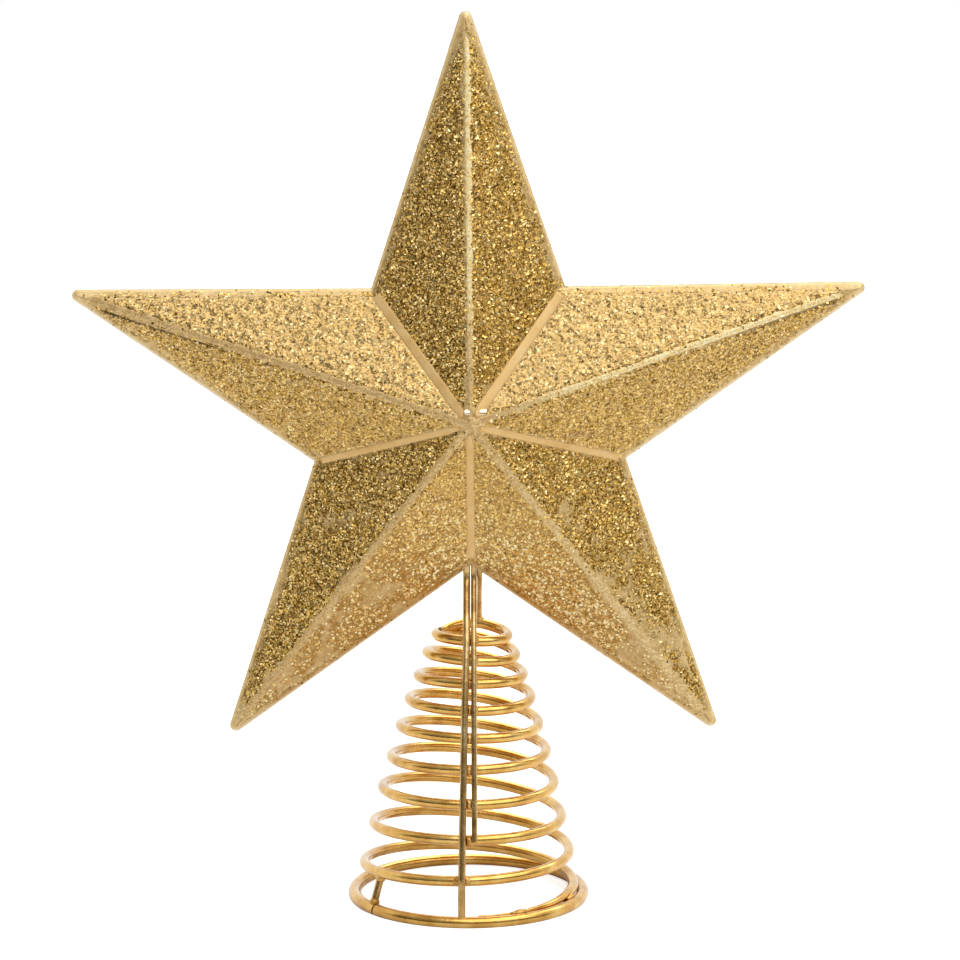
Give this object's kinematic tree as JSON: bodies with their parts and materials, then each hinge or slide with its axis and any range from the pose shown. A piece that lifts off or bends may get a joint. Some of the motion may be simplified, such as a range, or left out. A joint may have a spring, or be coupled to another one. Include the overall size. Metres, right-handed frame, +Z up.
{
  "type": "christmas tree topper star",
  "caption": "Hollow pointed star of ridged sheet metal with a gold glitter face and a smooth wire rim, carried on stems by a conical wire coil that slips over a tree's top shoot.",
  "frame": {"origin": "on the floor, under the middle of the part", "axes": "+Z up through the coil to the star's top tip, -Y out of the star's front, +X to its right seen from the front"},
  "size_m": [0.2036, 0.0632, 0.2327],
  "materials": {
    "glitter_gold": "gold glitter over sheet metal",
    "satin_gold": "smooth satin gold",
    "wire_gold": "polished gold",
    "braze": "rough cast gold"
  },
  "bodies": {
    "root": {"front_panel_upper_right": "glitter_gold", "front_panel_lower_right": "glitter_gold", "front_panel_bottom": "glitter_gold", "front_panel_lower_left": "glitter_gold", "front_panel_upper_left": "glitter_gold", "front_seam_top": "satin_gold", "front_seam_right": "satin_gold", "front_seam_lower_right": "satin_gold", "front_seam_lower_left": "satin_gold", "front_seam_left": "satin_gold", "front_boss": "satin_gold", "back_panel_upper_right": "glitter_gold", "back_panel_lower_right": "glitter_gold", "back_panel_bottom": "glitter_gold", "back_panel_lower_left": "glitter_gold", "back_panel_upper_left": "glitter_gold", "back_seam_top": "satin_gold", "back_seam_right": "satin_gold", "back_seam_lower_right": "satin_gold", "back_seam_lower_left": "satin_gold", "back_seam_left": "satin_gold", "back_boss": "satin_gold", "rim_wire": "satin_gold", "base_ring": "wire_gold", "coil": "wire_gold", "front_stem": "wire_gold", "side_stem": "wire_gold", "rear_leg": "wire_gold", "base_strut": "wire_gold", "stem_anchor": "braze", "braze_beads": "braze"}
  },
  "joints": []
}
